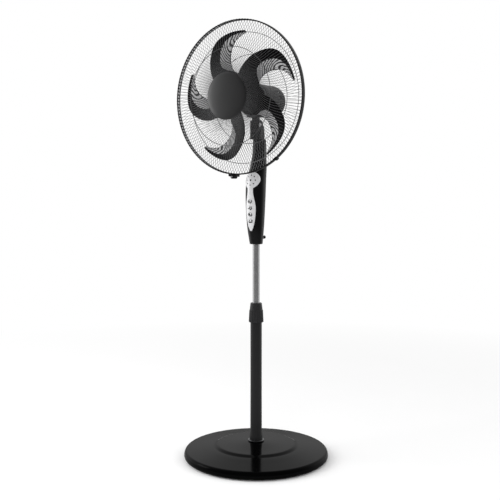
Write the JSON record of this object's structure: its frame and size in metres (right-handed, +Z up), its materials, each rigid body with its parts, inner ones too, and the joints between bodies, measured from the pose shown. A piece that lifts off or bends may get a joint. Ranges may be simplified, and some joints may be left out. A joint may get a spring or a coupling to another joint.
{
  "type": "pedestal fan",
  "caption": "Pedestal fan with a round weighted base, sliding pole, push-button column, swinging and tilting head, and swept blades inside a two-part wire guard.",
  "frame": {"origin": "on the floor under the middle of the round base, on the pole's axis", "axes": "+Z up along the pole, the fan blows towards -Y, +X to the right of someone standing behind the fan"},
  "size_m": [0.4339, 0.425, 1.2815],
  "materials": {
    "base_cover": "high gloss black",
    "base_tray": "matte black",
    "base_weight": "rough cast",
    "base_feet": "matte",
    "pole_socket": "satin black",
    "flange_screws": "zinc plated",
    "foot_ring": "bright",
    "outer_pole": "satin dark grey",
    "pole_collet": "matte",
    "collar_nut": "satin dark grey",
    "inner_tube": "satin silver grey",
    "tube_bush": "matte",
    "tube_socket": "matte",
    "control_front": "high gloss black",
    "control_rear": "high gloss black",
    "housing_screws": "zinc plated",
    "control_panel": "silver lacquer",
    "indicator_pipes": "smoked clear",
    "receiver_window": "smoked clear",
    "control_board": "green laminate",
    "board_switches": "matte",
    "swing_motor": "zinc",
    "cord_gland": "matte",
    "clamp_screw": "plain",
    "clamp_knob": "satin black",
    "neck_housing": "satin black",
    "swivel_ring": "plain",
    "tilt_bolt": "plain",
    "tilt_nut": "plain",
    "tilt_block": "satin black",
    "motor_front": "satin black",
    "motor_rear": "satin black",
    "motor_bracket": "die cast",
    "motor_screws": "plain",
    "motor_stator": "laminated steel",
    "motor_coils": "enamelled copper",
    "motor_rotor": "turned",
    "motor_bearings": "sintered",
    "motor_shaft": "ground",
    "rear_guard": "satin black",
    "guard_nut": "matte black",
    "front_guard": "satin black",
    "guard_band": "satin black",
    "front_cap": "satin dark grey",
    "guard_clips": "satin black",
    "rim_screw": "plain",
    "rim_nut": "plain",
    "fan_blades": "smoke black",
    "spinner": "matte black",
    "button_power": "silver lacquer",
    "button_speed": "silver lacquer",
    "button_timer": "silver lacquer",
    "button_swing": "silver lacquer"
  },
  "bodies": {
    "stand": {"base_cover": "base_cover", "base_tray": "base_tray", "base_weight": "base_weight", "base_feet": "base_feet", "pole_socket": "pole_socket", "flange_screws": "flange_screws", "foot_ring": "foot_ring", "outer_pole": "outer_pole", "pole_collet": "pole_collet"},
    "collar": {"collar_nut": "collar_nut"},
    "column": {"inner_tube": "inner_tube", "tube_bush": "tube_bush", "tube_socket": "tube_socket", "control_front": "control_front", "control_rear": "control_rear", "housing_screws": "housing_screws", "control_panel": "control_panel", "indicator_pipes": "indicator_pipes", "receiver_window": "receiver_window", "control_board": "control_board", "board_switches": "board_switches", "swing_motor": "swing_motor", "cord_gland": "cord_gland"},
    "power_button": {"button_power": "button_power"},
    "speed_button": {"button_speed": "button_speed"},
    "timer_button": {"button_timer": "button_timer"},
    "swing_button": {"button_swing": "button_swing"},
    "clamp": {"clamp_screw": "clamp_screw", "clamp_knob": "clamp_knob"},
    "neck": {"neck_housing": "neck_housing", "swivel_ring": "swivel_ring", "tilt_bolt": "tilt_bolt", "tilt_nut": "tilt_nut"},
    "head": {"tilt_block": "tilt_block", "motor_front": "motor_front", "motor_rear": "motor_rear", "motor_bracket": "motor_bracket", "motor_screws": "motor_screws", "motor_stator": "motor_stator", "motor_coils": "motor_coils", "motor_bearings": "motor_bearings", "rear_guard": "rear_guard", "guard_nut": "guard_nut", "front_guard": "front_guard", "guard_band": "guard_band", "front_cap": "front_cap", "guard_clips": "guard_clips", "rim_screw": "rim_screw", "rim_nut": "rim_nut"},
    "rotor": {"fan_blades": "fan_blades", "spinner": "spinner", "motor_shaft": "motor_shaft", "motor_rotor": "motor_rotor"}
  },
  "joints": [
    {"name": "height_slide", "type": "slide", "parent": "stand", "child": "column", "axis": [0, 0, 1], "range_m": [-0.155, 0.03]},
    {"name": "collar_turn", "type": "hinge", "parent": "stand", "child": "collar", "pos_m": [0, 0, 0.449], "axis": [0, 0, 1], "range_deg": [0, 270]},
    {"name": "clamp_turn", "type": "hinge", "parent": "column", "child": "clamp", "pos_m": [0, 0.041, 0.662], "axis": [0, 1, 0], "range_deg": [0, 270]},
    {"name": "swing_turn", "type": "hinge", "parent": "column", "child": "neck", "pos_m": [0, 0.014, 0.951], "axis": [0, 0, 1], "range_deg": [-40, 40]},
    {"name": "tilt_turn", "type": "hinge", "parent": "neck", "child": "head", "pos_m": [0, -0.002, 0.992], "axis": [-1, 0, 0], "range_deg": [-10, 20]},
    {"name": "blade_spin", "type": "hinge", "parent": "head", "child": "rotor", "pos_m": [0, -0.093, 1.0645], "axis": [0, -1, 0], "continuous": true},
    {"name": "power_press", "type": "slide", "parent": "column", "child": "power_button", "axis": [0, 1, 0], "range_m": [0, 0.001], "stiffness_N_per_m": 700},
    {"name": "speed_press", "type": "slide", "parent": "column", "child": "speed_button", "axis": [0, 1, 0], "range_m": [0, 0.001], "stiffness_N_per_m": 700},
    {"name": "timer_press", "type": "slide", "parent": "column", "child": "timer_button", "axis": [0, 1, 0], "range_m": [0, 0.001], "stiffness_N_per_m": 700},
    {"name": "swing_press", "type": "slide", "parent": "column", "child": "swing_button", "axis": [0, 1, 0], "range_m": [0, 0.001], "stiffness_N_per_m": 700}
  ]
}
